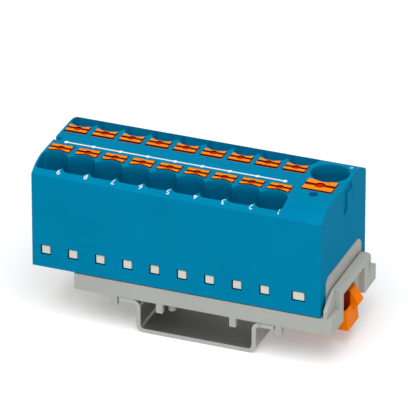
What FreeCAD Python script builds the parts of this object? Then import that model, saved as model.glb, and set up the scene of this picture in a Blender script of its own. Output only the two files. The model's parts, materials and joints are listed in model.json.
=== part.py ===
import FreeCAD, Part
import os
from math import cos, radians, sin, sqrt

# Power distribution block with push-in clamps, clipped across a short piece of top-hat rail.
# Millimetres. x runs along the block, y from its front to its back, z up.
# The origin lies under the middle of the rail, on the face that the rail stands on.

# Rail
rail_width = 35.0
rail_height = 7.5
rail_sheet = 1.0
hat_width = 27.0
rail_bend = 0.8
rail_inset = 0.2

# Poles
pole_count = 9
pole_pitch = 6.16
feed_section = 9.36

# Housing
housing_depth = 27.4
housing_height = 23.9
housing_overhang = 36.95
housing_wall = 1.0
pole_end_wall = 0.55
feed_end_wall = 1.4
shoulder_radius = 9.3
shoulder_run = 6.0
chamber_height = 12.0
partition = 0.8
rib_gap = 0.5
rib_clearance = 0.4

# Conductor entries
entry_inset = 4.9
mouth_half = 3.2
mouth_corner = 1.5
cup_draft = 0.22
cup_depth = 4.6
cup_shift = 0.45
throat_radius = 1.75
throat_lead = 0.5
entry_skin = 0.4
feed_inset_x = 4.9
feed_inset_y = 8.6
feed_mouth_radius = 4.15
feed_cup_radius = 3.75
feed_throat_radius = 2.9

# Push buttons
button_width = 4.8
button_start = 2.6
button_depth = 2.85
button_rise = 0.25
button_gap = 0.15
button_relief = 0.35
feed_relief = 0.15
relief_depth = 1.6
button_web = 0.2
stop_reach = 0.7
stop_height = 1.4
slot_width = 0.75
slot_depth = 1.1
slot_eye_radius = 0.8
feed_button_width = 6.6
feed_button_start = 4.0
feed_button_depth = 4.4
feed_slot_width = 1.0
feed_slot_eye_radius = 1.1

# Test point, marks in the end face and end notch
test_radius = 1.0
test_wall = 0.4
groove_width = 2.4
groove_height = 5.4
groove_depth = 0.5
groove_drop = 1.6
groove_shift = 1.3
end_recess_start = 0.1
end_recess_width = 4.9
end_recess_height = 1.9
end_recess_drop = 0.6
end_recess_depth = 0.35
end_slit_shift = 6.0
end_slit_width = 0.35
end_slit_height = 2.4
end_slit_drop = 2.8
notch_width = 1.4
notch_length = 1.5
notch_depth = 0.9

# Latching windows and the lugs of the base plate
window_width = 2.3
window_height = 2.3
window_centre = 4.1
feed_window_width = 3.0
lug_gap = 0.2
lug_recess = 0.2
arm_sheet = 0.8
arm_gap = 0.15
plate_sheet = 1.6
plate_gap = 0.1
stand_sheet = 1.2
stand_inset = 1.0
busbar_stand = 1.5

# Busbar and clamp springs
busbar_sheet = 0.8
busbar_end_gap = 0.3
leg_height = 6.9
feed_leg_sheet = 1.2
wire_slack = 0.05
spring_width = 4.2
spring_sheet = 0.4
loop_radius = 2.0
centre_gap = 2.2
arm_slope = 15.0
tip_gap = 0.3
base_arm_start = 1.0
button_seat = 0.2
feed_spring_width = 6.0
feed_spring_sheet = 0.6
feed_loop_radius = 2.8
feed_reach = 12.4

# Foot
foot_start = 9.4
foot_overhang = 2.6
foot_inset = 0.1
foot_height = 3.7
foot_wall = 1.5
foot_deck = 1.4
foot_seat = 0.3
rail_play = 0.1
end_gap = 0.6
end_sheet = 0.85
end_height = 4.6
cheek_rise = 1.8
cheek_run = 4.8
cheek_bow = 0.35
frame_inset = 4.9
latch_window = 13.0
latch_window_top = 2.7
latch_passage_top = 0.9
tongue_height = 7.7
tongue_inset = 3.1
tongue_sheet = 0.9
tongue_sunk = 0.55
tongue_corner = 2.0
guide_sheet = 1.3
guide_width = 1.5
guide_drop = 2.2
inner_guide_inset = 4.5
peg_radius = 0.85
peg_gap = 0.4
peg_inset = 0.3
hook_sheet = 1.6
hook_height = 1.4
hook_reach = 2.0
hook_chamfer = 0.5
hook_inset = 4.2
hook_play = 0.2
side_play = 0.25

# Latch
latch_width = 6.5
latch_height = 6.2
latch_play = 0.2
latch_stem = 4.9
runner_sheet = 1.2
runner_lip = 0.7
runner_drop = 3.3
lip_sheet = 0.9
nose_reach = 2.0
nose_sheet = 0.8
nose_lead = 1.0
handle_length = 3.1
handle_rim = 3.2
handle_lean = 0.6
pry_length = 1.3
pry_depth = 3.9
pry_wall = 0.4
pry_side = 0.5
ridge_width = 3.1
ridge_reach = 1.5
ridge_crest = 0.3
ridge_fall = 2.6
ridge_edge = 0.5
ridge_root = 4.4

# Overlap of pieces that are moulded together, and overshoot of cutting tools
sunk = 0.2
over = 1.0

# Worked-out levels and places
outlet_section = pole_count * pole_pitch
housing_length = outlet_section + feed_section
left = -housing_overhang
right = left + housing_length
front = -housing_depth / 2
back = housing_depth / 2
foot_bottom = rail_height + rail_play
foot_top = foot_bottom + foot_height
base = foot_top + foot_seat
top = base + housing_height
roof = base + chamber_height
pole_x = [left + (i + 0.5) * pole_pitch for i in range(pole_count)]
entry_y = housing_depth / 2 - entry_inset
feed_x = right - feed_inset_x
feed_y = back - feed_inset_y
test_y = (feed_y - feed_button_start - feed_button_depth - button_gap - feed_relief
          - test_wall - test_radius)
foot_depth = housing_depth - 2 * foot_inset
rail_length = housing_depth - 2 * rail_inset
plate_top = base + plate_sheet
web_bottom = plate_top + busbar_stand
web_top = web_bottom + busbar_sheet
leg_inner = entry_y + throat_radius + wire_slack
feed_leg_inner = feed_y + feed_throat_radius + wire_slack
window_z = base + window_centre
rows = {"front": -1, "back": 1}


def box(x0, x1, y0, y1, z0, z1):
    corner = FreeCAD.Vector(x0, y0, z0)
    return Part.makeBox(x1 - x0, y1 - y0, z1 - z0, corner)


def upright(x, y, radius, z0, z1):
    return Part.makeCylinder(radius, z1 - z0, FreeCAD.Vector(x, y, z0))


def face_from(points):
    return Part.Face(Part.makePolygon(points + [points[0]]))


def along_y(outline, y0, y1):
    """A prism with its outline in x and z."""
    face = face_from([FreeCAD.Vector(x, y0, z) for x, z in outline])
    return face.extrude(FreeCAD.Vector(0, y1 - y0, 0))


def joined(shapes):
    """One solid out of several that touch or overlap."""
    return shapes[0].fuse(shapes[1:]).removeSplitter()


def without(shape, tools):
    return shape.cut(tools).removeSplitter()


def revolved(profile, x, y):
    """A turned solid from its radius and height pairs, about an upright axis."""
    points = [FreeCAD.Vector(x + radius, y, z) for radius, z in profile]
    return face_from(points).revolve(FreeCAD.Vector(x, y, 0), FreeCAD.Vector(0, 0, 1), 360)


def housing_outline(x):
    """The end view: upright sides, rounded shoulders and a flat top."""
    drop = shoulder_radius - sqrt(shoulder_radius ** 2 - shoulder_run ** 2)
    half_run = shoulder_run / 2
    half_drop = shoulder_radius - sqrt(shoulder_radius ** 2 - half_run ** 2)

    def at(y, z):
        return FreeCAD.Vector(x, y, z)

    front_arc = Part.Arc(at(front, top - drop), at(front + half_run, top - half_drop),
                         at(front + shoulder_run, top))
    back_arc = Part.Arc(at(back - shoulder_run, top), at(back - half_run, top - half_drop),
                        at(back, top - drop))
    edges = [
        Part.makeLine(at(back, base), at(front, base)),
        Part.makeLine(at(front, base), at(front, top - drop)),
        front_arc.toShape(),
        Part.makeLine(at(front + shoulder_run, top), at(back - shoulder_run, top)),
        back_arc.toShape(),
        Part.makeLine(at(back, top - drop), at(back, base)),
    ]
    return Part.Face(Part.Wire(edges))


def throat_profile(throat):
    """Radius and height pairs of a round throat with a chamfered lead-in at the cup's floor."""
    cup_floor = top - cup_depth
    return [
        (0, roof - over),
        (throat, roof - over),
        (throat, cup_floor - throat_lead),
        (throat + throat_lead, cup_floor),
    ]


def feed_entry_tool():
    """The feed's entry: a drafted round cup over a round throat into the chamber."""
    draft = (feed_mouth_radius - feed_cup_radius) / cup_depth
    profile = throat_profile(feed_throat_radius) + [
        (feed_cup_radius, top - cup_depth),
        (feed_mouth_radius + draft * over, top + over),
        (0, top + over),
    ]
    return revolved(profile, feed_x, feed_y)


def cup_outline(x, y, inward, inset, z):
    """An outlet's cup seen from above: half round towards its button, a rounded square outside."""
    half = mouth_half - inset
    corner = mouth_corner - inset
    turn = corner * (1 - cos(radians(45)))

    def at(dx, outward):
        return FreeCAD.Vector(x + dx, y - inward * outward, z)

    edges = [
        Part.Arc(at(half, 0), at(0, -half), at(-half, 0)).toShape(),
        Part.makeLine(at(-half, 0), at(-half, half - corner)),
        Part.Arc(at(-half, half - corner), at(turn - half, half - turn), at(corner - half, half)).toShape(),
        Part.makeLine(at(corner - half, half), at(half - corner, half)),
        Part.Arc(at(half - corner, half), at(half - turn, half - turn), at(half, half - corner)).toShape(),
        Part.makeLine(at(half, half - corner), at(half, 0)),
    ]
    return Part.Wire(edges)


def outlet_entry_tool(x, y, inward):
    """An outlet's entry: a drafted cup, set outwards of the round throat below it."""
    throat_top = top - cup_depth + sunk
    profile = throat_profile(throat_radius) + [
        (throat_radius + throat_lead, throat_top),
        (0, throat_top),
    ]
    throat = revolved(profile, x, y)
    cup_y = y - inward * cup_shift
    floor = cup_outline(x, cup_y, inward, cup_draft, top - cup_depth)
    mouth = cup_outline(x, cup_y, inward, -cup_draft * over / cup_depth, top + over)
    return Part.makeLoft([floor, mouth], True, True).fuse(throat)


def clamp_points():
    """Every clamp: its name, place, inward direction and whether it is the feed."""
    points = []
    for row, side in rows.items():
        for i, x in enumerate(pole_x):
            points.append((f"{row}_{i + 1}", x, side * entry_y, -side, False))
    points.append(("feed", feed_x, feed_y, -1, True))
    return points


def button_plan(feed):
    """Half width, near edge, far edge, shift of the cup and the radius of the web around it."""
    if feed:
        return (feed_button_width / 2, feed_button_start, feed_button_start + feed_button_depth,
                0, feed_mouth_radius + button_web)
    return (button_width / 2, button_start, button_start + button_depth,
            cup_shift, mouth_half + button_web)


def span_y(y, inward, near, far):
    """Low and high y of a stretch given by its distances from an entry, inward."""
    ends = sorted((y + inward * near, y + inward * far))
    return ends[0], ends[1]


def shaft_tool(x, y, inward, feed):
    """The opening for one button, with a relief towards the middle of the block."""
    half, near, far, shift, web_radius = button_plan(feed)
    x0 = x - half - button_gap
    x1 = x + half + button_gap
    far_wall = far + button_gap
    relief_wall = far_wall + (feed_relief if feed else button_relief)
    y0, y1 = span_y(y, inward, near - button_gap, far_wall)
    shaft = box(x0, x1, y0, y1, roof - over, top + over)
    y0, y1 = span_y(y, inward, far, relief_wall)
    relief = box(x0, x1, y0, y1, top - relief_depth, top + over)
    ring = upright(x, y - inward * shift, web_radius, roof - 2 * over, top + 2 * over)
    return shaft.fuse(relief).cut(ring)


def window_x():
    """Centre and width of each latching window."""
    plain = [(x, window_width) for x in pole_x]
    return plain + [(feed_x, feed_window_width)]


def make_housing():
    body = housing_outline(left).extrude(FreeCAD.Vector(housing_length, 0, 0))
    inner_left = left + pole_end_wall
    inner_right = right - feed_end_wall
    inner_front = front + housing_wall
    inner_back = back - housing_wall
    chamber = box(inner_left, inner_right, inner_front, inner_back, base - over, roof)
    rib_y = leg_inner - rib_gap
    rib_bottom = web_top + rib_clearance
    ribs = []
    for i in range(1, pole_count + 1):
        x = left + i * pole_pitch
        ribs.append(box(x - partition / 2, x + partition / 2, -rib_y, rib_y, rib_bottom, roof))
    chamber = chamber.cut(ribs)

    entries = []
    shafts = []
    for name, x, y, inward, feed in clamp_points():
        entries.append(feed_entry_tool() if feed else outlet_entry_tool(x, y, inward))
        shafts.append(shaft_tool(x, y, inward, feed))
    inside = box(left + entry_skin, right - entry_skin, front, back, base, top + 2 * over)
    entries = [tool.common(inside) for tool in entries]

    windows = []
    for x, width in window_x():
        z0 = window_z - window_height / 2
        z1 = window_z + window_height / 2
        windows.append(box(x - width / 2, x + width / 2, front - over, inner_front, z0, z1))
        windows.append(box(x - width / 2, x + width / 2, inner_back, back + over, z0, z1))

    test_hole = upright(feed_x, test_y, test_radius, roof - over, top + over)
    notch = box(left - over, left + notch_length, -notch_width, 0, top - notch_depth, top + over)
    tongue_seat = tongue_outline(right - tongue_sunk, base - over, plate_gap)
    tongue_seat = tongue_seat.extrude(FreeCAD.Vector(tongue_sunk + over, 0, 0))

    tools = [chamber, test_hole, notch, tongue_seat] + end_face_tools()
    return without(body, tools + entries + shafts + windows)


def end_face_tools():
    """The round-ended groove, the shallow recess above it and the slit in the feed's end face."""
    z1 = top - groove_drop - groove_width / 2
    z0 = z1 - groove_height + groove_width
    x0 = right - groove_depth
    half = groove_width / 2
    groove = box(x0, right + over, groove_shift - half, groove_shift + half, z0, z1)
    for z in (z0, z1):
        centre = FreeCAD.Vector(x0, groove_shift, z)
        groove = groove.fuse(Part.makeCylinder(half, groove_depth + over, centre,
                                               FreeCAD.Vector(1, 0, 0)))
    z1 = top - end_recess_drop
    recess = box(right - end_recess_depth, right + over, end_recess_start,
                 end_recess_start + end_recess_width, z1 - end_recess_height, z1)
    z1 = top - end_slit_drop
    slit = box(right - end_recess_depth, right + over, end_slit_shift - end_slit_width / 2,
               end_slit_shift + end_slit_width / 2, z1 - end_slit_height, z1)
    return [groove, recess, slit]


def tongue_outline(x, z0, grow):
    """End view of the upright tongue, with rounded upper corners."""
    half = foot_depth / 2 - tongue_inset + grow
    z1 = foot_top + tongue_height + grow
    corner = tongue_corner + grow
    turn = corner * (1 - cos(radians(45)))

    def at(y, z):
        return FreeCAD.Vector(x, y, z)

    arc_left = Part.Arc(at(-half, z1 - corner), at(-half + turn, z1 - turn), at(-half + corner, z1))
    arc_right = Part.Arc(at(half - corner, z1), at(half - turn, z1 - turn), at(half, z1 - corner))
    edges = [
        Part.makeLine(at(half, z0), at(-half, z0)),
        Part.makeLine(at(-half, z0), at(-half, z1 - corner)),
        arc_left.toShape(),
        Part.makeLine(at(-half + corner, z1), at(half - corner, z1)),
        arc_right.toShape(),
        Part.makeLine(at(half, z1 - corner), at(half, z0)),
    ]
    return Part.Face(Part.Wire(edges))


def make_base_plate():
    """The insert that closes the housing from below and snaps into its windows."""
    x0 = left + pole_end_wall + plate_gap
    x1 = right - feed_end_wall - plate_gap
    y1 = housing_depth / 2 - housing_wall - plate_gap
    parts = [box(x0, x1, -y1, y1, base, plate_top)]
    for y in (-entry_y, -stand_sheet / 2, entry_y - stand_sheet):
        parts.append(box(x0 + stand_inset, x1 - stand_inset, y, y + stand_sheet, plate_top,
                         web_bottom))
    arm_outer = housing_depth / 2 - housing_wall - arm_gap
    lug_outer = housing_depth / 2 - lug_recess
    lug_half_height = window_height / 2 - lug_gap
    for x, width in window_x():
        half = width / 2 - lug_gap
        for side in (-1, 1):
            y_arm = sorted((side * arm_outer, side * (arm_outer - arm_sheet)))
            y_lug = sorted((side * lug_outer, side * arm_outer))
            parts.append(box(x - half, x + half, y_arm[0], y_arm[1], base + plate_sheet / 2,
                             window_z + lug_half_height))
            parts.append(box(x - half, x + half, y_lug[0], y_lug[1],
                             window_z - lug_half_height, window_z + lug_half_height))
    return joined(parts)


def make_busbar():
    """One bent and welded bar: a web under both rows, a leg beside each and one at the feed."""
    x0 = left + pole_end_wall + busbar_end_gap
    x1 = right - feed_end_wall - busbar_end_gap
    leg_end = left + outlet_section - partition
    leg_outer = leg_inner + busbar_sheet
    parts = [box(x0, x1, -leg_outer, leg_outer, web_bottom, web_top)]
    for y in (-leg_outer, leg_inner):
        parts.append(box(x0, leg_end, y, y + busbar_sheet, web_bottom, web_top + leg_height))
    half = feed_spring_width / 2
    parts.append(box(feed_x - half, feed_x + half, feed_leg_inner, feed_leg_inner + feed_leg_sheet,
                     web_bottom, web_top + leg_height))
    return joined(parts)


def make_spring(x, y, inward, feed):
    """A leaf spring: a flat arm on the busbar, an open loop and a sloping clamping arm."""
    if feed:
        width, sheet, radius = feed_spring_width, feed_spring_sheet, feed_loop_radius
        reach = feed_reach
        leg = feed_throat_radius + wire_slack
    else:
        width, sheet, radius = spring_width, spring_sheet, loop_radius
        reach = entry_y - centre_gap / 2
        leg = throat_radius + wire_slack
    slope = radians(arm_slope)
    centre_s = reach - radius - sheet / 2
    centre_z = web_top + sheet / 2 + radius
    tip_s = tip_gap - leg

    def at(s, z):
        return FreeCAD.Vector(x - width / 2, y + inward * s, z)

    def on_loop(r, angle):
        return at(centre_s + r * cos(angle), centre_z + r * sin(angle))

    outer = radius + sheet / 2
    inner = radius - sheet / 2
    bottom = radians(-90)
    middle = radians(0)
    end = radians(90) + slope
    run = (centre_s - radius * sin(slope) - tip_s) / cos(slope)
    step = at(0, 0) - at(run * cos(slope), run * sin(slope))
    step.x = 0
    tip_outer = on_loop(outer, end) + step
    tip_inner = on_loop(inner, end) + step
    start_low = at(base_arm_start, web_top)
    start_high = at(base_arm_start, web_top + sheet)
    edges = [
        Part.makeLine(start_low, on_loop(outer, bottom)),
        Part.Arc(on_loop(outer, bottom), on_loop(outer, middle), on_loop(outer, end)).toShape(),
        Part.makeLine(on_loop(outer, end), tip_outer),
        Part.makeLine(tip_outer, tip_inner),
        Part.makeLine(tip_inner, on_loop(inner, end)),
        Part.Arc(on_loop(inner, end), on_loop(inner, middle), on_loop(inner, bottom)).toShape(),
        Part.makeLine(on_loop(inner, bottom), start_high),
        Part.makeLine(start_high, start_low),
    ]
    return Part.Face(Part.Wire(edges)).extrude(FreeCAD.Vector(width, 0, 0))


def make_button(x, y, inward, feed):
    """A push button: a shaped stem, a stop under the roof and a driver slot in its head."""
    half, near, far, shift, web_radius = button_plan(feed)
    if feed:
        spring_top = web_top + feed_spring_sheet + 2 * feed_loop_radius
        slot, eye = feed_slot_width, feed_slot_eye_radius
    else:
        spring_top = web_top + spring_sheet + 2 * loop_radius
        slot, eye = slot_width, slot_eye_radius
    head = top + button_rise
    y0, y1 = span_y(y, inward, near, far)
    stem = box(x - half, x + half, y0, y1, spring_top + button_seat, head)
    y0, y1 = span_y(y, inward, far - over, far + stop_reach)
    stop = box(x - half, x + half, y0, y1, roof - stop_height, roof - button_gap)
    slot_y = y + inward * (near + far) / 2
    groove = box(x - half - over, x + half + over, slot_y - slot / 2, slot_y + slot / 2,
                 head - slot_depth, head + over)
    eye_hole = upright(x, slot_y, eye, head - slot_depth, head + over)
    around = upright(x, y - inward * shift, web_radius + button_gap, base, top + over)
    return without(stem.fuse(stop), [groove, eye_hole, around])


def make_foot():
    """The adapter under the block: a hollow deck, an end frame, guides, runners and a hook."""
    x0 = left + foot_start
    x1 = right + foot_overhang
    half = foot_depth / 2
    lip_left = -rail_width / 2
    lip_right = rail_width / 2
    deck_under = foot_top - foot_deck

    wall_inner = right + end_gap
    wall_outer = wall_inner + end_sheet
    handle_x = x1 - handle_length
    deck = box(x0, x1, -half, half, foot_bottom, foot_top)
    hollow = box(x0 + foot_wall, handle_x - latch_play - foot_wall, foot_wall - half,
                 half - foot_wall, foot_bottom - over, deck_under)
    groove_half = latch_width / 2 + latch_play
    slideway = box(0, x1 + over, -groove_half, groove_half, foot_bottom - over, deck_under)
    deck = deck.cut([hollow, slideway])

    parts = [deck, make_end_wall(wall_inner, wall_outer, half)]
    frame_half = half - frame_inset
    parts.append(box(wall_outer, x1, -frame_half, frame_half, foot_top, foot_top + end_height))
    tongue = tongue_outline(right - tongue_sunk, foot_top - foot_deck / 2, 0)
    parts.append(tongue.extrude(FreeCAD.Vector(tongue_sheet, 0, 0)))

    seat_half = housing_depth / 2 - 2 * housing_wall
    for x in (x0 + foot_wall, 0, right - 3 * foot_wall):
        parts.append(box(x, x + foot_wall, -seat_half, seat_half, foot_top, base))

    guide_x = [lip_left - side_play - guide_width, lip_right + side_play,
               -hat_width / 2 + inner_guide_inset, hat_width / 2 - inner_guide_inset - guide_width]
    for x in guide_x:
        for y in (-half, half - guide_sheet):
            parts.append(box(x, x + guide_width, y, y + guide_sheet, foot_bottom - guide_drop,
                             foot_bottom + over))
    peg_x = guide_x[2] + guide_width + peg_radius + peg_gap
    peg_y = half - foot_wall - peg_radius - peg_inset
    for y in (-peg_y, peg_y):
        parts.append(upright(peg_x, y, peg_radius, foot_bottom - guide_drop, deck_under + sunk))

    hook_right = lip_left - side_play
    hook_top = rail_height - rail_sheet - hook_play
    hook_low = hook_top - hook_height
    hook_half = half - hook_inset
    hook = [
        (hook_right - hook_sheet, deck_under + sunk),
        (hook_right - hook_sheet, hook_low),
        (hook_right + hook_chamfer, hook_low),
        (lip_left + hook_reach, hook_top - hook_chamfer),
        (lip_left + hook_reach, hook_top),
        (hook_right, hook_top),
        (hook_right, deck_under + sunk),
    ]
    parts.append(along_y(hook, -hook_half, hook_half))

    runner_low = deck_under - latch_play - runner_drop - latch_play - lip_sheet
    runner_x0 = lip_right + side_play + guide_width
    runner_x1 = handle_x - latch_play
    runner = [
        (groove_half, deck_under + sunk),
        (groove_half, runner_low + lip_sheet),
        (groove_half - runner_lip, runner_low + lip_sheet),
        (groove_half - runner_lip, runner_low),
        (groove_half + runner_sheet, runner_low),
        (groove_half + runner_sheet, deck_under + sunk),
    ]
    for side in (-1, 1):
        face = face_from([FreeCAD.Vector(runner_x0, side * y, z) for y, z in runner])
        parts.append(face.extrude(FreeCAD.Vector(runner_x1 - runner_x0, 0, 0)))

    foot = joined(parts)
    window = box(wall_outer, x1 + over, -latch_window / 2, latch_window / 2, foot_bottom - over,
                 foot_top + latch_window_top)
    passage = box(handle_x - latch_play, x1 + over, -groove_half, groove_half,
                  foot_bottom - 2 * over, foot_top + latch_passage_top)
    return without(foot, [window, passage])


def make_end_wall(x0, x1, half):
    """The cheek behind the tongue: full width, with its lower corners rounded away."""
    z0 = foot_top
    z1 = foot_top + end_height

    def at(y, z):
        return FreeCAD.Vector(x0, y, z)

    mid_y = half - cheek_run / 2 + cheek_bow / 2
    mid_z = z0 + (cheek_rise + end_height) / 2 + cheek_bow
    front_arc = Part.Arc(at(-half, z0 + cheek_rise), at(-mid_y, mid_z), at(cheek_run - half, z1))
    back_arc = Part.Arc(at(half - cheek_run, z1), at(mid_y, mid_z), at(half, z0 + cheek_rise))
    edges = [
        Part.makeLine(at(half, z0), at(-half, z0)),
        Part.makeLine(at(-half, z0), at(-half, z0 + cheek_rise)),
        front_arc.toShape(),
        Part.makeLine(at(cheek_run - half, z1), at(half - cheek_run, z1)),
        back_arc.toShape(),
        Part.makeLine(at(half, z0 + cheek_rise), at(half, z0)),
    ]
    return Part.Face(Part.Wire(edges)).extrude(FreeCAD.Vector(x1 - x0, 0, 0))


def make_latch():
    """The sliding latch: nose under the rail's lip, T-shaped slide and a handle to lever it."""
    deck_under = foot_top - foot_deck
    slide_top = deck_under - latch_play
    slide_low = slide_top - runner_drop
    bottom = slide_top - latch_height
    lip_right = rail_width / 2
    body_x = lip_right + side_play
    x1 = right + foot_overhang
    handle_x = x1 - handle_length
    half = latch_width / 2
    stem_half = latch_stem / 2

    slide = box(body_x, handle_x + sunk, -half, half, slide_low, slide_top)
    stem = box(body_x, handle_x + sunk, -stem_half, stem_half, bottom, slide_top)
    nose_top = rail_height - rail_sheet - hook_play
    nose = [
        (body_x + sunk, nose_top),
        (lip_right - nose_reach, nose_top),
        (lip_right - nose_reach, nose_top - nose_sheet),
        (body_x - nose_lead, bottom),
        (body_x + sunk, bottom),
    ]
    nose = along_y(nose, -stem_half, stem_half)

    rim_z = foot_top - handle_rim
    rim_x = x1 - handle_lean
    handle = [
        (handle_x, bottom),
        (x1, bottom),
        (rim_x, rim_z),
        (handle_x, rim_z),
    ]
    handle = along_y(handle, -half, half)
    pocket_x1 = rim_x - pry_wall
    pocket_x0 = pocket_x1 - pry_length
    pocket = box(pocket_x0, pocket_x1, pry_side - half, half - ridge_width, rim_z - pry_depth,
                 foot_top)
    back_wall = box(handle_x, pocket_x0, -half, half, rim_z - sunk, foot_top)
    tip = x1 + ridge_reach - handle_lean
    ridge = [
        (handle_x, rim_z - sunk),
        (handle_x, foot_top),
        (rim_x - ridge_crest, foot_top),
        (tip, foot_top - ridge_fall),
        (tip, foot_top - ridge_fall - ridge_edge),
        (x1 - pry_wall, foot_top - ridge_root),
        (rim_x - ridge_edge, foot_top - ridge_root),
    ]
    ridge = along_y(ridge, half - ridge_width, half)
    latch = joined([slide, stem, nose, handle, back_wall, ridge])
    return without(latch, [pocket])


def make_rail():
    """A short piece of rail: one sheet bent into a hat with two lips, open upwards."""
    outer = rail_bend + rail_sheet
    half_hat = hat_width / 2
    half_rail = rail_width / 2
    y0 = -rail_length / 2
    lip = box(-half_rail, half_rail, y0, -y0, rail_height - rail_sheet, rail_height)
    channel_top = box(-half_hat + rail_sheet, half_hat - rail_sheet, y0, -y0,
                      rail_height - rail_sheet, rail_height)
    web = box(-half_hat, half_hat, y0, -y0, 0, rail_height)
    channel = box(-half_hat + rail_sheet, half_hat - rail_sheet, y0, -y0, rail_sheet, rail_height)
    hat = lip.cut(channel_top).fuse(web.cut(channel)).removeSplitter()

    near = 0.01

    def edges_near(x, z):
        found = []
        for edge in hat.Edges:
            centre = edge.CenterOfMass
            if max(abs(abs(centre.x) - x), abs(centre.z - z), abs(centre.y)) < near:
                found.append(edge)
        return found

    hat = hat.makeFillet(outer, edges_near(half_hat, 0))
    hat = hat.makeFillet(rail_bend, edges_near(half_hat - rail_sheet, rail_sheet))
    hat = hat.makeFillet(outer, edges_near(half_hat - rail_sheet, rail_height))
    return hat.makeFillet(rail_bend, edges_near(half_hat, rail_height - rail_sheet))


def save(name, shape):
    if shape.ShapeType == "Compound" and len(shape.Solids) == 1:
        shape = shape.Solids[0]
    if not shape.isValid() or len(shape.Solids) != 1:
        print("check this shape:", name, shape.isValid(), len(shape.Solids))
    shape.exportStep(os.path.join("parts", name + ".step"))


os.makedirs("parts", exist_ok=True)
save("mounting_rail", make_rail())
save("rail_foot", make_foot())
save("foot_latch", make_latch())
save("housing", make_housing())
save("base_plate", make_base_plate())
save("busbar", make_busbar())
for clamp, clamp_x, clamp_y, clamp_inward, is_feed in clamp_points():
    label = "feed" if is_feed else "outlet_" + clamp
    save(label + "_spring", make_spring(clamp_x, clamp_y, clamp_inward, is_feed))
    save(label + "_button", make_button(clamp_x, clamp_y, clamp_inward, is_feed))
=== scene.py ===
import json
from math import asin, cos, pi, radians, sin, sqrt

import bpy
from mathutils import Matrix, Vector

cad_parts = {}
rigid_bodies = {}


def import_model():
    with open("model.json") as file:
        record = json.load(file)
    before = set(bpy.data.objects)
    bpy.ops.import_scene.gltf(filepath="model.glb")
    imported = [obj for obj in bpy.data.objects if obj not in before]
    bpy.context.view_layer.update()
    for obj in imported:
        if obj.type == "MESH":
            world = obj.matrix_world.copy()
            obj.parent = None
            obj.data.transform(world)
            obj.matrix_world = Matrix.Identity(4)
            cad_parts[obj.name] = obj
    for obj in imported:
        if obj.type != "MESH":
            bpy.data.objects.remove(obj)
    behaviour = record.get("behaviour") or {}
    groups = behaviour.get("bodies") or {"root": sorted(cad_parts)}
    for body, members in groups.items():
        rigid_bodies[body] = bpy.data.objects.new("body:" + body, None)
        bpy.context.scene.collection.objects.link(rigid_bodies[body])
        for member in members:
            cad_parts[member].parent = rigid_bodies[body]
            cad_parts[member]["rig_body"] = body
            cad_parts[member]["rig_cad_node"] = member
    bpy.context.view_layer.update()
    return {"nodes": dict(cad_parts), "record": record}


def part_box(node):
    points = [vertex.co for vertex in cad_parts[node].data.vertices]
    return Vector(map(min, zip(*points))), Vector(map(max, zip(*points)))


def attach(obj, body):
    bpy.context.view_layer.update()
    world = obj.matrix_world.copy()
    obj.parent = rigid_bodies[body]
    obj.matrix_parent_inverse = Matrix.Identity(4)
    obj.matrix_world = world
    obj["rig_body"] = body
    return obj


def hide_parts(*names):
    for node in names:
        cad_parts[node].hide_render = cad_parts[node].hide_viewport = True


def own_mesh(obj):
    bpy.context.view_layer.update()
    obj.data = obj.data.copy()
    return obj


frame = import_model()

bl_info = {
    "name": "Power distribution block",
    "version": (1, 0, 0),
    "blender": (4, 5, 0),
    "location": "3D View > Sidebar > Block",
    "description": "Gives a push-in power distribution block on its rail the finish "
                   "of the real one",
    "category": "Object",
}

FRONT_BUTTONS = sorted(node for node in frame["nodes"]
                       if node.startswith("outlet_front") and node.endswith("_button"))
BACK_BUTTONS = sorted(node for node in frame["nodes"]
                      if node.startswith("outlet_back") and node.endswith("_button"))
BUTTONS = sorted(node for node in frame["nodes"] if node.endswith("_button"))
SPRINGS = sorted(node for node in frame["nodes"] if node.endswith("_spring"))

MM = 0.001  # in metres

# The rounded shoulders along the housing's two long sides, as in the CAD
SHOULDER_RADIUS = 9.3 * MM
SHOULDER_RUN = 6.0 * MM  # from a long side to the flat top

# Shade is painted into the housing's blue inside this box, which holds its cups
CUP_INSET = 3.0 * MM  # from a long side
CUP_END_INSET = 0.9 * MM  # from an end
CUP_DEPTH = 2.0 * MM  # below the flat top
CUP_FADE = (0.1 * MM, 1.0 * MM, 1.8 * MM)  # along, across and up from the box

# Shade is painted in the gaps round the lugs in the windows, a little way in from the housing's
# sides
GAP_INSET = 0.16 * MM
WINDOW_BOTTOM = 2.85 * MM  # above the housing's lowest point
WINDOW_TOP = 5.35 * MM

# The buttons' painted shade, by depth below the flat heads
HEAD_RIM = 0.08 * MM  # the sides start here
SLOT_TOP = 0.42 * MM  # the insides of the slots start here
SIDE_LAYER = 0.1 * MM  # in front of and behind the plane of a side

# The pocket in the top of the latch, where shade is painted
POCKET_FROM_TIP = 1.9 * MM
POCKET_LENGTH = 1.3 * MM
POCKET_SIDE = 0.5 * MM  # from the latch's front
RIDGE_WIDTH = 3.1 * MM  # the solid ridge between the pocket and the latch's back

# How fast the skin turns into its painted shade where a real edge parts them
EDGE_FADE = [0.05 * MM] * 3
POCKET_FADE = [0.08 * MM] * 3

# Rounding the edges of a copied CAD node
MERGE_DISTANCE = 0.001 * MM
FLAT_ANGLE = radians(0.6)  # faces that turn by less are one flat face
EDGE_ANGLE = radians(32)  # edges that turn by less are part of a round face
EDGE_SEGMENTS = 2

# Moulded plastic
POLYAMIDE_IOR = 1.53
FLOW_WIDTH = 9 * MM  # of the clouds that the melt leaves as it flows into the mould
FLOW_TONES = 0.965, 1.035
GRAIN_TONES = 0.93, 1.07
GRAIN_GLOSS = -0.06, 0.08  # added to the roughness
GRAIN_HEIGHT = 0.02 * MM
GRAIN_STRENGTH = 0.35

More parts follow.
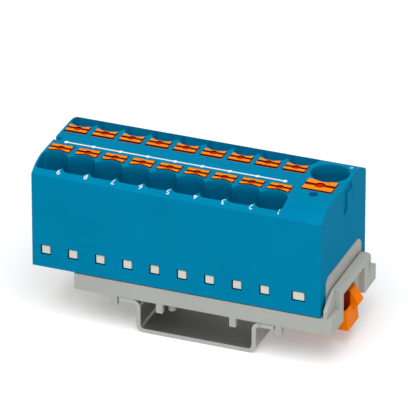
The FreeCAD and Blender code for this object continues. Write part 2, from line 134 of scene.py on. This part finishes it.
# Plated and rolled metal
LINE_STRETCH = 0.06  # a rolling line is about 17 times as long as it is wide
LINE_TONES = 0.93, 1.04
LINE_GLOSS = -0.07, 0.09  # added to the roughness
LINE_HEIGHT = 0.01 * MM
LINE_STRENGTH = 0.25
PATCH_WIDTH = 2.2 * MM

# Print
INK_NAME = "White ink, pad printed"
INK_IOR = 1.48
INK_ROUGHNESS = 0.6
INK_COVER_WIDTH = 0.4 * MM
INK_TONES = 0.93, 1.05
DOT_RISE = 1.2  # a dot stands this many times as high as the line, so that it shows on it
DIGIT_SHARE = 0.7  # of the size of the type, taken up by the height of a digit

# Studio, in metres
KEY_SIZE, KEY_PLACE = 0.8, (0.08, -0.36, 0.78)
FILL_SIZE, FILL_PLACE = 0.5, (0.62, -0.3, 0.35)
LIT_POINT = (0, 0, 0.02)
FLOOR_RADIUS = 3.0
FLOOR_TONES = 0.84, 0.86
FLOOR_MOTTLE = 6 * MM
CAMERA_AIM = Vector((32, 14, 14)) * MM  # from the housing's lowest corner
CAMERA_SHIFT = Vector((-1.366, 0.291)) * MM  # of the aim in the picture, right and up
SENSOR_WIDTH = 36  # in millimetres
CLIP_START, CLIP_END = 0.1, 20


def linear(code):
    """An sRGB hex colour as the linear numbers that Blender works in."""
    parts = [int(code[i:i + 2], 16) / 255 for i in (1, 3, 5)]
    return [c / 12.92 if c <= 0.04045 else ((c + 0.055) / 1.055) ** 2.4 for c in parts]


class BlockColours(bpy.types.PropertyGroup):
    """The colours that the pieces are moulded, plated or printed in, and the shade painted into
    their cups, slots, sides, pocket and window gaps.
    """

    housing: bpy.props.FloatVectorProperty(
        name="Housing", description="Blue of the moulded housing",
        subtype="COLOR", default=linear("#0082AC"))
    # painted shade: a darker blue painted in the depth of the cups, where less light falls
    housing_deep: bpy.props.FloatVectorProperty(
        name="Cups", description="Darker blue in the depth of the housing's cups",
        subtype="COLOR", default=linear("#006D93"))
    # painted shade: a near-black blue painted in the gaps round the lugs, where shade falls
    gap: bpy.props.FloatVectorProperty(
        name="Window gaps", description="Darkness in the gaps round the lugs in their windows",
        subtype="COLOR", default=linear("#00303E"))
    button: bpy.props.FloatVectorProperty(
        name="Buttons", description="Orange of the push buttons' heads",
        subtype="COLOR", default=linear("#FF8A00"))
    # painted shade: red orange painted inside the buttons' slots, where shade falls
    button_deep: bpy.props.FloatVectorProperty(
        name="Button slots", description="Red orange that the buttons show inside their slots",
        subtype="COLOR", default=linear("#E03400"))
    # painted shade: dark red brown painted on the buttons' sides, in the shadow of their shafts
    button_wall: bpy.props.FloatVectorProperty(
        name="Button sides", description="Dark red brown of the buttons' sides",
        subtype="COLOR", default=linear("#4A0E00"))
    latch: bpy.props.FloatVectorProperty(
        name="Latch", description="Orange of the foot's latch",
        subtype="COLOR", default=linear("#FF8000"))
    # painted shade: dark red orange painted in the depth of the latch's pocket
    latch_deep: bpy.props.FloatVectorProperty(
        name="Latch pocket", description="Dark red orange in the depth of the latch's pocket",
        subtype="COLOR", default=linear("#A02C10"))
    foot: bpy.props.FloatVectorProperty(
        name="Foot", description="Grey of the foot",
        subtype="COLOR", default=linear("#B2B3AD"))
    insert: bpy.props.FloatVectorProperty(
        name="Insert", description="Off-white of the insert and its lugs",
        subtype="COLOR", default=linear("#DEDBD0"))
    zinc: bpy.props.FloatVectorProperty(
        name="Rail", description="Zinc plating of the rail",
        subtype="COLOR", default=linear("#B0B0AC"))
    tin: bpy.props.FloatVectorProperty(
        name="Busbar", description="Tin plating of the busbar",
        subtype="COLOR", default=linear("#D8D6D0"))
    spring: bpy.props.FloatVectorProperty(
        name="Springs", description="Rolled steel of the clamp springs",
        subtype="COLOR", default=linear("#A9A8A4"))
    print: bpy.props.FloatVectorProperty(
        name="Print", description="White of the printed line and numbers",
        subtype="COLOR", default=linear("#F4F7F8"))


class BlockFinish(bpy.types.PropertyGroup):
    """How the moulded and printed surfaces are finished."""

    edge: bpy.props.FloatProperty(
        name="Edge radius", description="Radius of the moulded edges",
        unit="LENGTH", default=0.14 * MM)
    # the real grain is about 0.03 mm wide, finer than a pixel, and is drawn ten times as coarse
    grain: bpy.props.FloatProperty(
        name="Mould grain", description="Width of the mould's grain on the plastic",
        unit="LENGTH", default=0.3 * MM)
    print_height: bpy.props.FloatProperty(
        name="Print thickness", description="How far the white print stands up",
        unit="LENGTH", default=0.02 * MM)
    line_width: bpy.props.FloatProperty(
        name="Line width", description="Width of the printed link line",
        unit="LENGTH", default=0.42 * MM)
    dot_width: bpy.props.FloatProperty(
        name="Dot width", description="Diameter of a dot on the link line",
        unit="LENGTH", default=0.95 * MM)
    line_inset: bpy.props.FloatProperty(
        name="Line inset", description="From the housing's front to the link line",
        unit="LENGTH", default=12.05 * MM)
    number_height: bpy.props.FloatProperty(
        name="Number height", description="Height of the position numbers",
        unit="LENGTH", default=1.25 * MM)
    number_inset: bpy.props.FloatProperty(
        name="Number inset", description="From the housing's front to the numbers",
        unit="LENGTH", default=1.25 * MM)
    number_shift: bpy.props.FloatProperty(
        name="Number shift", description="From a pole's middle to its number",
        unit="LENGTH", default=2.65 * MM)
    feed_number_shift: bpy.props.FloatProperty(
        name="Feed number shift", description="From the feed's middle to its number",
        unit="LENGTH", default=3.25 * MM)
    feed_number_inset: bpy.props.FloatProperty(
        name="Feed number inset", description="From the housing's back to the feed's number",
        unit="LENGTH", default=4.4 * MM)
    feed_number_height: bpy.props.FloatProperty(
        name="Feed number height", description="Height of the feed's number",
        unit="LENGTH", default=0.95 * MM)


class BlockStage(bpy.types.PropertyGroup):
    """The studio that the block stands in."""

    azimuth: bpy.props.FloatProperty(
        name="Camera azimuth", description="How far the camera stands round to the right",
        unit="ROTATION", default=radians(21.16))
    elevation: bpy.props.FloatProperty(
        name="Camera elevation", description="How far the camera looks down",
        unit="ROTATION", default=radians(27.82))
    lens: bpy.props.FloatProperty(
        name="Lens", description="Focal length of the camera",
        unit="CAMERA", default=531.3)
    distance: bpy.props.FloatProperty(
        name="Camera distance", description="From the camera to the block's middle",
        unit="LENGTH", default=1.2686)
    key_power: bpy.props.FloatProperty(
        name="Key light", description="Power of the large soft light above the front",
        unit="POWER", default=5.8)
    fill_power: bpy.props.FloatProperty(
        name="Fill light", description="Power of the soft light at the right",
        unit="POWER", default=0.2)
    sky: bpy.props.FloatProperty(
        name="Sky", description="Brightness of the light from all round",
        subtype="FACTOR", default=0.46)
    floor_glow: bpy.props.FloatProperty(
        name="Floor whiteness", description="White that the camera sees on top of the lit floor",
        subtype="FACTOR", default=0.25)


def add(tree, kind, inputs=None, **settings):
    """Adds a node with its settings, and links or sets its inputs."""
    made = tree.nodes.new(kind)
    for name, value in settings.items():
        setattr(made, name, value)
    for name, value in (inputs or {}).items():
        if isinstance(value, bpy.types.NodeSocket):
            tree.links.new(value, made.inputs[name])
        else:
            made.inputs[name].default_value = value
    return made


def fresh(name):
    """A new node material with only its output."""
    made = bpy.data.materials.new(name)
    made.use_nodes = True
    tree = made.node_tree
    tree.nodes.clear()
    return made, tree, tree.nodes.new("ShaderNodeOutputMaterial")


def rgba(colour, gain=1.0):
    """A linear colour made lighter or darker by a gain, with full cover."""
    return [min(1.0, c * gain) for c in colour] + [1.0]


def per_metre(size):
    """The scale of a noise whose cells are this wide."""
    return 1.0 / size


def inside_box(tree, place, low, high, fade):
    """A mask of 1 inside a box of object coordinates. Outside the box it falls to 0, over a
    distance that fade gives for each axis."""
    axes = add(tree, "ShaderNodeSeparateXYZ", {"Vector": place})
    mask = None
    for axis, lowest, highest, reach in zip("XYZ", low, high, fade):
        for edge, sign in ((lowest, -1), (highest, 1)):
            side = add(tree, "ShaderNodeMapRange", {
                "Value": axes.outputs[axis], "From Min": edge, "From Max": edge + sign * reach,
                "To Min": 1.0, "To Max": 0.0}).outputs["Result"]
            mask = side if mask is None else add(
                tree, "ShaderNodeMath", {0: mask, 1: side}, operation="MULTIPLY").outputs["Value"]
    return mask


def moulded(name, colour, roughness, shine, painted_shades=()):
    """Polyamide out of a steel mould: a satin skin with a fine even grain, slight flow marks in
    its colour, and soft highlights that the shine makes stronger or weaker. The list of painted
    shades gives (colour, low corner, high corner, fade) for each part of the piece where shade is
    painted into its colour: a darker colour in its cups, slots, pocket, sides or gaps, where
    little light falls."""
    grain = bpy.context.scene.block_finish.grain
    made, tree, out = fresh(name)
    place = add(tree, "ShaderNodeTexCoord").outputs["Object"]
    flow = add(tree, "ShaderNodeTexNoise", {
        "Vector": place, "Scale": per_metre(FLOW_WIDTH), "Detail": 3.0})
    speckle = add(tree, "ShaderNodeTexNoise", {
        "Vector": place, "Scale": per_metre(grain), "Detail": 2.0})
    # a noise keeps near its middle, so its middle part is spread over the whole change of tone
    cloud = add(tree, "ShaderNodeMapRange", {
        "Value": flow.outputs["Fac"], "From Min": 0.3, "From Max": 0.7})
    tone = add(tree, "ShaderNodeMix", {
        "Factor": cloud.outputs["Result"], "A": rgba(colour, FLOW_TONES[0]),
        "B": rgba(colour, FLOW_TONES[1])}, data_type="RGBA")
    shade = tone.outputs["Result"]
    # painted shade: each box mixes its darker colour into the skin, where shade falls
    for shade_colour, low, high, fade in painted_shades:
        depth = inside_box(tree, place, low, high, fade)
        shade = add(tree, "ShaderNodeMix", {"Factor": depth, "A": shade, "B": rgba(shade_colour)},
                    data_type="RGBA").outputs["Result"]
    fine = add(tree, "ShaderNodeMapRange", {
        "Value": speckle.outputs["Fac"], "To Min": GRAIN_TONES[0], "To Max": GRAIN_TONES[1]})
    skin = add(tree, "ShaderNodeMix", {"Factor": 1.0, "A": shade, "B": fine.outputs["Result"]},
               data_type="RGBA", blend_type="MULTIPLY")
    gloss = add(tree, "ShaderNodeMapRange", {
        "Value": speckle.outputs["Fac"],
        "To Min": roughness + GRAIN_GLOSS[0], "To Max": roughness + GRAIN_GLOSS[1]})
    bump = add(tree, "ShaderNodeBump", {
        "Height": speckle.outputs["Fac"], "Strength": GRAIN_STRENGTH, "Distance": GRAIN_HEIGHT})
    shader = add(tree, "ShaderNodeBsdfPrincipled", {
        "Base Color": skin.outputs["Result"], "Roughness": gloss.outputs["Result"],
        "Normal": bump.outputs["Normal"], "IOR": POLYAMIDE_IOR, "Specular IOR Level": shine})
    tree.links.new(shader.outputs["BSDF"], out.inputs["Surface"])
    return made


def plated(name, colour, roughness, along, grain, patch=0.0):
    """Plated or rolled sheet metal: lines along the rolling direction that stretch its
    highlights and, where patch isn't 0, a faint cloud of brighter and duller patches. Real
    rolling lines are a few hundredths of a millimetre wide, too fine to show, and are drawn
    about ten times as coarse."""
    made, tree, out = fresh(name)
    place = add(tree, "ShaderNodeTexCoord").outputs["Object"]
    stretch = [LINE_STRETCH if axis == along else 1.0 for axis in "XYZ"]
    lined = add(tree, "ShaderNodeMapping", {"Vector": place, "Scale": stretch})
    lines = add(tree, "ShaderNodeTexNoise", {
        "Vector": lined.outputs["Vector"], "Scale": per_metre(grain), "Detail": 3.0})
    cloud = add(tree, "ShaderNodeTexVoronoi", {
        "Vector": place, "Scale": per_metre(PATCH_WIDTH), "Smoothness": 1.0}, feature="SMOOTH_F1")
    spots = add(tree, "ShaderNodeMapRange", {
        "Value": cloud.outputs["Distance"], "From Max": 0.7,
        "To Min": 1.0 - patch, "To Max": 1.0 + patch})
    # the middle part of the noise is spread over the whole change of tone, as in moulded
    dark = add(tree, "ShaderNodeMapRange", {
        "Value": lines.outputs["Fac"], "From Min": 0.25, "From Max": 0.75,
        "To Min": LINE_TONES[0], "To Max": LINE_TONES[1]})
    tone = add(tree, "ShaderNodeMath", {0: spots.outputs["Result"], 1: dark.outputs["Result"]},
               operation="MULTIPLY")
    skin = add(tree, "ShaderNodeMix", {
        "Factor": 1.0, "A": rgba(colour), "B": tone.outputs["Value"]},
        data_type="RGBA", blend_type="MULTIPLY")
    gloss = add(tree, "ShaderNodeMapRange", {
        "Value": lines.outputs["Fac"],
        "To Min": roughness + LINE_GLOSS[0], "To Max": roughness + LINE_GLOSS[1]})
    bump = add(tree, "ShaderNodeBump", {
        "Height": lines.outputs["Fac"], "Strength": LINE_STRENGTH, "Distance": LINE_HEIGHT})
    shader = add(tree, "ShaderNodeBsdfPrincipled", {
        "Base Color": skin.outputs["Result"], "Metallic": 1.0,
        "Roughness": gloss.outputs["Result"], "Normal": bump.outputs["Normal"]})
    tree.links.new(shader.outputs["BSDF"], out.inputs["Surface"])
    return made


def printed(name, colour):
    """Pad-printed ink: a thin matt film whose cover is a little uneven. The real unevenness is
    about 0.1 mm wide, too fine to show, and is drawn four times as coarse."""
    made, tree, out = fresh(name)
    place = add(tree, "ShaderNodeTexCoord").outputs["Object"]
    cover = add(tree, "ShaderNodeTexNoise", {
        "Vector": place, "Scale": per_metre(INK_COVER_WIDTH), "Detail": 2.0})
    thin = add(tree, "ShaderNodeMapRange", {
        "Value": cover.outputs["Fac"], "To Min": INK_TONES[0], "To Max": INK_TONES[1]})
    skin = add(tree, "ShaderNodeMix", {
        "Factor": 1.0, "A": rgba(colour), "B": thin.outputs["Result"]},
        data_type="RGBA", blend_type="MULTIPLY")
    shader = add(tree, "ShaderNodeBsdfPrincipled", {
        "Base Color": skin.outputs["Result"], "Roughness": INK_ROUGHNESS, "IOR": INK_IOR})
    tree.links.new(shader.outputs["BSDF"], out.inputs["Surface"])
    return made


def white_ink():
    """The one ink of the line and the numbers, made for the first of them. It gives the eye a
    dull clean white with no highlight of its own."""
    colour = bpy.context.scene.block_colours.print
    return bpy.data.materials.get(INK_NAME) or printed(INK_NAME, colour)


def only(obj):
    """Selects this object alone and makes it the active one."""
    bpy.ops.object.select_all(action="DESELECT")
    obj.hide_set(False)
    obj.select_set(True)
    bpy.context.view_layer.objects.active = obj


def wear(obj, material):
    """Gives an object one material in place of what it had."""
    obj.data.materials.clear()
    obj.data.materials.append(material)


def copied(node, name):
    """A copy of a CAD node under a name of its own."""
    only(frame["nodes"][node])
    bpy.ops.object.duplicate()
    piece = bpy.context.view_layer.objects.active
    piece.name = name
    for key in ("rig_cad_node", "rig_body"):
        if key in piece:
            del piece[key]
    return piece


def softened(node, name, body):
    """A copy of a CAD node with its triangles merged and its edges rounded, in its place."""
    piece = copied(node, name)
    bpy.ops.object.mode_set(mode="EDIT")
    bpy.ops.mesh.select_all(action="SELECT")
    bpy.ops.mesh.remove_doubles(threshold=MERGE_DISTANCE)
    bpy.ops.mesh.dissolve_limited(angle_limit=FLAT_ANGLE)
    # triangles, because a flat face round a hole would close over it once its edges are rounded
    bpy.ops.mesh.quads_convert_to_tris(quad_method="BEAUTY", ngon_method="BEAUTY")
    bpy.ops.object.mode_set(mode="OBJECT")
    bevel = piece.modifiers.new("Moulded edges", "BEVEL")
    bevel.width = bpy.context.scene.block_finish.edge
    bevel.segments = EDGE_SEGMENTS
    bevel.limit_method = "ANGLE"
    bevel.angle_limit = EDGE_ANGLE
    bevel.use_clamp_overlap = False
    bpy.ops.object.modifier_apply(modifier=bevel.name)
    bpy.ops.object.shade_smooth_by_angle(angle=EDGE_ANGLE)
    flat = piece.modifiers.new("Flat faces stay flat", "WEIGHTED_NORMAL")
    flat.weight = 100
    flat.keep_sharp = True
    bpy.ops.object.modifier_apply(modifier=flat.name)
    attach(piece, body)
    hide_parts(node)
    return piece


def body_of_node(node):
    """The CAD body that carries a node."""
    for body, members in frame["record"]["behaviour"]["bodies"].items():
        if node in members:
            return body
    raise ValueError("no body carries " + node)


class BLOCK_OT_housing(bpy.types.Operator):
    """Finishes the blue moulded housing"""

    bl_idname = "block.housing"
    bl_label = "Housing"

    def execute(self, context):
        colours = context.scene.block_colours
        low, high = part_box("housing")
        inset = Vector((CUP_END_INSET, CUP_INSET, 0))
        cups = low + inset, high - inset - Vector((0, 0, CUP_DEPTH))
        windows = (Vector((cups[0].x, low.y + GAP_INSET, low.z + WINDOW_BOTTOM)),
                   Vector((cups[1].x, high.y - GAP_INSET, low.z + WINDOW_TOP)))
        # the eroded grain breaks up every reflection: an even, almost dull blue, with shade
        # painted darker in the cups and in the gaps round the lugs
        skin = moulded("Blue polyamide, spark-eroded mould", colours.housing,
                       roughness=0.5, shine=0.005,
                       painted_shades=[(colours.housing_deep, *cups, CUP_FADE),
                               (colours.gap, *windows, EDGE_FADE)])
        wear(frame["nodes"]["housing"], skin)
        return {"FINISHED"}


class BLOCK_OT_buttons(bpy.types.Operator):
    """Finishes the orange push buttons with their driver slots"""

    bl_idname = "block.buttons"
    bl_label = "Push buttons"

    def execute(self, context):
        colours = context.scene.block_colours
        low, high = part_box("housing")
        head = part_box(BUTTONS[0])[1].z
        rim = head - HEAD_RIM
        # painted shade: dark red brown on the sides below the rim, red orange inside the slots
        painted_shades = [(colours.button_wall, low, (high.x, high.y, rim), EDGE_FADE),
                  (colours.button_deep, low, (high.x, high.y, head - SLOT_TOP), EDGE_FADE)]
        # The shade painted on the sides towards the middle of the block goes all the way down,
        # because the shafts are wider there and more of a side shows. Those sides are at the high
        # y of the front buttons, corner 1 of their boxes, and at the low y of the others, corner
        # 0.
        for row, corner in ((FRONT_BUTTONS, 1), (BACK_BUTTONS, 0), (["feed_button"], 0)):
            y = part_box(row[0])[corner].y
            first = min(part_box(node)[0].x for node in row)
            last = max(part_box(node)[1].x for node in row)
            painted_shades.append((colours.button_wall, (first, y - SIDE_LAYER, low.z),
                           (last, y + SIDE_LAYER, rim), EDGE_FADE))
        # a polished mould leaves a smoother skin than the housing's: the heads carry a mild
        # sheen, and shade is painted red orange inside their slots and dark red brown on their
        # sides
        skin = moulded("Orange polyamide, polished mould", colours.button,
                       roughness=0.4, shine=0.06, painted_shades=painted_shades)
        for node in BUTTONS:
            piece = softened(node, node + "_moulded", body_of_node(node))
            wear(piece, skin)
        return {"FINISHED"}


class BLOCK_OT_insert(bpy.types.Operator):
    """Finishes the off-white insert whose lugs show in the windows"""

    bl_idname = "block.insert"
    bl_label = "Insert"

    def execute(self, context):
        colours = context.scene.block_colours
        low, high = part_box("base_plate")
        # painted shade: the gaps round and behind the lugs, a little way in from the sides
        behind = ((low.x, low.y + GAP_INSET, low.z + WINDOW_BOTTOM),
                  (high.x, high.y - GAP_INSET, high.z))
        # polyamide with no colour added: a warm, slightly waxy off-white on the lugs' faces, with
        # shade painted dark in the gaps round and behind the lugs
        skin = moulded("Natural polyamide, plain mould", colours.insert,
                       roughness=0.46, shine=0.15, painted_shades=[(colours.gap, *behind, EDGE_FADE)])
        piece = softened("base_plate", "base_plate_moulded", "block")
        wear(piece, skin)
        return {"FINISHED"}


class BLOCK_OT_contacts(bpy.types.Operator):
    """Finishes the tinned busbar and the steel clamp springs"""

    bl_idname = "block.contacts"
    bl_label = "Busbar and springs"

    def execute(self, context):
        colours = context.scene.block_colours
        # tin gives a soft white gloss with lines along the bar, and rolled steel a harder
        # grey one with lines across the block, along each leaf
        tin = plated("Tinned copper, stamped", colours.tin,
                     roughness=0.3, along="X", grain=0.25 * MM)
        steel = plated("Spring steel, cold rolled", colours.spring,
                       roughness=0.28, along="Y", grain=0.2 * MM)
        wear(frame["nodes"]["busbar"], tin)
        for node in SPRINGS:
            leaf = copied(node, node + "_leaf")
            wear(leaf, steel)
            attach(leaf, "block")
            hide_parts(node)
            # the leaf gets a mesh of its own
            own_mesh(leaf)
        return {"FINISHED"}


class BLOCK_OT_rail(bpy.types.Operator):
    """Finishes the zinc-plated rail"""

    bl_idname = "block.rail"
    bl_label = "Rail"

    def execute(self, context):
        # fresh zinc: a pale silvery grey with a blurred shine along the rail and faint clouds
        zinc = plated("Steel, zinc plated", context.scene.block_colours.zinc,
                      roughness=0.42, along="Y", grain=0.3 * MM, patch=0.03)
        piece = softened("mounting_rail", "mounting_rail_formed", "rail")
        wear(piece, zinc)
        return {"FINISHED"}


class BLOCK_OT_foot(bpy.types.Operator):
    """Finishes the grey foot and its tongue"""

    bl_idname = "block.foot"
    bl_label = "Foot"

    def execute(self, context):
        # a plain light grey with a soft sheen that shows on its rounded edges
        skin = moulded("Grey polyamide, spark-eroded mould", context.scene.block_colours.foot,
                       roughness=0.5, shine=0.12)
        piece = softened("rail_foot", "rail_foot_moulded", "block")
        wear(piece, skin)
        return {"FINISHED"}


class BLOCK_OT_latch(bpy.types.Operator):
    """Finishes the orange sliding latch"""

    bl_idname = "block.latch"
    bl_label = "Latch"

    def execute(self, context):
        colours = context.scene.block_colours
        low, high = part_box("foot_latch")
        near = high.x - POCKET_FROM_TIP
        pocket = ((near - POCKET_LENGTH, low.y + POCKET_SIDE, low.z),
                  (near, high.y - RIDGE_WIDTH, high.z))
        # a strong, nearly matt orange, with shade painted red brown in the pocket
        skin = moulded("Orange polyamide, spark-eroded mould", colours.latch,
                       roughness=0.42, shine=0.03,
                       painted_shades=[(colours.latch_deep, *pocket, POCKET_FADE)])
        piece = softened("foot_latch", "foot_latch_moulded", "latch")
        wear(piece, skin)
        return {"FINISHED"}


def middle(node):
    """A node's middle along the block."""
    low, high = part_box(node)
    return (low.x + high.x) / 2


def pole_places():
    """The middle of each pole along the block, from its front button."""
    return [middle(node) for node in FRONT_BUTTONS]


def join(pieces, name):
    """Joins pieces into one object under a new name."""
    bpy.ops.object.select_all(action="DESELECT")
    for piece in pieces:
        piece.select_set(True)
    bpy.context.view_layer.objects.active = pieces[0]
    bpy.ops.object.join()
    bpy.ops.object.transform_apply(location=True, rotation=True, scale=True)
    pieces[0].name = name
    return pieces[0]


class BLOCK_OT_link_line(bpy.types.Operator):
    """Prints the white line with a dot at each pole along the top"""

    bl_idname = "block.link_line"
    bl_label = "Link line"

    def execute(self, context):
        finish = context.scene.block_finish
        low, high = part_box("housing")
        y = low.y + finish.line_inset
        z = high.z + finish.print_height / 2
        places = pole_places()
        first, last = places[0], places[-1]
        bpy.ops.object.select_all(action="DESELECT")
        bpy.ops.mesh.primitive_cube_add(size=1, location=((first + last) / 2, y, z))
        strip = bpy.context.object
        strip.scale = (last - first, finish.line_width, finish.print_height)
        parts = [strip]
        for x in places:
            bpy.ops.object.select_all(action="DESELECT")
            bpy.ops.mesh.primitive_cylinder_add(
                vertices=32, radius=finish.dot_width / 2, depth=DOT_RISE * finish.print_height,
                location=(x, y, z))
            parts.append(bpy.context.object)
        line = join(parts, "link_line")
        wear(line, white_ink())
        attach(line, "block")
        return {"FINISHED"}


def shoulder_drop(inset):
    """How far a rounded shoulder lies below the flat top, at a distance from its long side."""
    run = SHOULDER_RUN - inset
    return SHOULDER_RADIUS - sqrt(SHOULDER_RADIUS ** 2 - run ** 2)


def shoulder_slope(inset):
    """How steeply a rounded shoulder rises, at a distance from its long side."""
    return asin((SHOULDER_RUN - inset) / SHOULDER_RADIUS)


class BLOCK_OT_numbers(bpy.types.Operator):
    """Prints a plain number beside each front entry and the feed, to be read from the back"""

    bl_idname = "block.numbers"
    bl_label = "Position numbers"

    def execute(self, context):
        finish = context.scene.block_finish
        low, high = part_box("housing")
        # each mark is a number, its height, its place along the block, -1 for the housing's
        # front or 1 for its back, and the distance in from there
        marks = [(0, finish.feed_number_height, middle("feed_button") + finish.feed_number_shift,
                  1, finish.feed_number_inset)]
        for number, x in enumerate(reversed(pole_places()), 1):
            marks.append((number, finish.number_height, x + finish.number_shift,
                          -1, finish.number_inset))
        for number, height, x, side, inset in marks:
            bpy.ops.object.select_all(action="DESELECT")
            bpy.ops.object.text_add()
            text = bpy.context.object
            text.data.body = str(number)
            text.data.size = height / DIGIT_SHARE
            text.data.align_x = "CENTER"
            text.data.align_y = "CENTER"
            text.data.resolution_u = 4
            bpy.ops.object.convert(target="MESH")
            piece = bpy.context.object
            edge = low.y if side < 0 else high.y
            piece.rotation_euler = (side * shoulder_slope(inset), 0, pi)
            piece.location = (x, edge - side * inset, high.z - shoulder_drop(inset))
            bpy.ops.object.transform_apply(location=True, rotation=True, scale=True)
            wrap = piece.modifiers.new("Lies on the shoulder", "SHRINKWRAP")
            wrap.target = frame["nodes"]["housing"]
            wrap.offset = 0.5 * finish.print_height
            film = piece.modifiers.new("Film", "SOLIDIFY")
            film.thickness = finish.print_height
            film.offset = 0
            bpy.ops.object.modifier_apply(modifier=wrap.name)
            bpy.ops.object.modifier_apply(modifier=film.name)
            piece.name = "number_%d" % number
            wear(piece, white_ink())
            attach(piece, "block")
        return {"FINISHED"}


def area_light(name, size, power, place):
    """A soft square light that looks at the block."""
    data = bpy.data.lights.new(name, "AREA")
    data.shape = "SQUARE"
    data.size = size
    data.energy = power
    light = bpy.data.objects.new(name, data)
    light.location = place
    light.rotation_mode = "QUATERNION"
    light.rotation_quaternion = (Vector(LIT_POINT) - Vector(place)).to_track_quat("-Z", "Y")
    bpy.context.scene.collection.objects.link(light)


def plain_view(tree):
    """1 for the rays that are to meet plain white, and 0 for the light that falls on the block:
    the camera's own rays, and those that metal or glass turns on to the background."""
    path = add(tree, "ShaderNodeLightPath")
    seen = path.outputs["Is Camera Ray"]
    for ray in ("Is Glossy Ray", "Is Transmission Ray"):
        seen = add(tree, "ShaderNodeMath", {0: seen, 1: path.outputs[ray]},
                   operation="MAXIMUM").outputs["Value"]
    return seen


class BLOCK_OT_stage(bpy.types.Operator):
    """Sets up the pale floor, the soft lights and the camera"""

    bl_idname = "block.stage"
    bl_label = "Stage"

    def execute(self, context):
        stage = context.scene.block_stage
        self.floor(stage)
        self.sky(context, stage)
        area_light("Key", KEY_SIZE, stage.key_power, KEY_PLACE)
        area_light("Fill", FILL_SIZE, stage.fill_power, FILL_PLACE)
        self.camera(context, stage)
        context.scene.view_settings.view_transform = "Standard"
        return {"FINISHED"}

    def floor(self, stage):
        """A white painted table top: matt, and white to the camera wherever no shadow falls."""
        bpy.ops.object.select_all(action="DESELECT")
        bpy.ops.mesh.primitive_circle_add(vertices=96, radius=FLOOR_RADIUS, fill_type="NGON")
        floor = bpy.context.object
        floor.name = "floor"
        made, tree, out = fresh("White matt floor")
        place = add(tree, "ShaderNodeTexCoord").outputs["Object"]
        mottle = add(tree, "ShaderNodeTexNoise", {
            "Vector": place, "Scale": per_metre(FLOOR_MOTTLE)})
        tone = add(tree, "ShaderNodeMapRange", {
            "Value": mottle.outputs["Fac"], "To Min": FLOOR_TONES[0], "To Max": FLOOR_TONES[1]})
        paint = add(tree, "ShaderNodeBsdfDiffuse", {"Color": tone.outputs["Result"]})
        glow = add(tree, "ShaderNodeMath", {0: plain_view(tree), 1: stage.floor_glow},
                   operation="MULTIPLY")
        white = add(tree, "ShaderNodeEmission", {"Strength": glow.outputs["Value"]})
        both = add(tree, "ShaderNodeAddShader", {
            0: paint.outputs["BSDF"], 1: white.outputs["Emission"]})
        tree.links.new(both.outputs["Shader"], out.inputs["Surface"])
        wear(floor, made)

    def sky(self, context, stage):
        """Even light from all round, which the camera sees as plain white."""
        world = bpy.data.worlds.new("Soft studio")
        context.scene.world = world
        world.use_nodes = True
        tree = world.node_tree
        tree.nodes.clear()
        strength = add(tree, "ShaderNodeMapRange", {
            "Value": plain_view(tree), "To Min": stage.sky, "To Max": 1.0})
        glow = add(tree, "ShaderNodeBackground", {
            "Color": (1, 1, 1, 1), "Strength": strength.outputs["Result"]})
        out = add(tree, "ShaderNodeOutputWorld", {"Surface": glow.outputs["Background"]})
        out.is_active_output = True

    def camera(self, context, stage):
        """The photograph's view: a long lens, looking down at the front and the right end."""
        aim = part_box("housing")[0] + CAMERA_AIM
        turn, tilt = stage.azimuth, stage.elevation
        back = Vector((sin(turn) * cos(tilt), -cos(turn) * cos(tilt), sin(tilt)))
        right = Vector((cos(turn), sin(turn), 0))
        up = back.cross(right)
        data = bpy.data.cameras.new("Photograph")
        data.lens = stage.lens
        data.sensor_width = SENSOR_WIDTH
        data.clip_start = CLIP_START
        data.clip_end = CLIP_END
        camera = bpy.data.objects.new("Photograph", data)
        place = aim + back * stage.distance - right * CAMERA_SHIFT.x - up * CAMERA_SHIFT.y
        turned = Matrix((right, up, back)).transposed().to_4x4()
        camera.matrix_world = Matrix.Translation(place) @ turned
        context.scene.collection.objects.link(camera)
        context.scene.camera = camera


class BLOCK_PT_panel(bpy.types.Panel):
    """The block's pieces and sizes in the sidebar"""

    bl_idname = "BLOCK_PT_panel"
    bl_label = "Power distribution block"
    bl_space_type = "VIEW_3D"
    bl_region_type = "UI"
    bl_category = "Block"

    def draw(self, context):
        scene = context.scene
        for group in (scene.block_colours, scene.block_finish, scene.block_stage):
            box = self.layout.box()
            for name in group.__annotations__:
                box.prop(group, name)
        for operator in OPERATORS:
            self.layout.operator(operator.bl_idname)


GROUPS = {"block_colours": BlockColours, "block_finish": BlockFinish, "block_stage": BlockStage}
OPERATORS = (BLOCK_OT_housing, BLOCK_OT_buttons, BLOCK_OT_insert, BLOCK_OT_contacts,
             BLOCK_OT_rail, BLOCK_OT_foot, BLOCK_OT_latch, BLOCK_OT_link_line,
             BLOCK_OT_numbers, BLOCK_OT_stage)
CLASSES = (*GROUPS.values(), *OPERATORS, BLOCK_PT_panel)


def register():
    """Makes the block's operators, panel and properties known to Blender."""
    for cls in CLASSES:
        bpy.utils.register_class(cls)
    for name, group in GROUPS.items():
        setattr(bpy.types.Scene, name, bpy.props.PointerProperty(type=group))


def unregister():
    """Takes them out again, in the opposite order."""
    for name in GROUPS:
        delattr(bpy.types.Scene, name)
    for cls in reversed(CLASSES):
        bpy.utils.unregister_class(cls)


def main():
    """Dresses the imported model."""
    register()
    bpy.ops.block.housing()
    bpy.ops.block.buttons()
    bpy.ops.block.insert()
    bpy.ops.block.contacts()
    bpy.ops.block.rail()
    bpy.ops.block.foot()
    bpy.ops.block.latch()
    bpy.ops.block.link_line()
    bpy.ops.block.numbers()
    bpy.ops.block.stage()


if __name__ == "__main__":
    main()
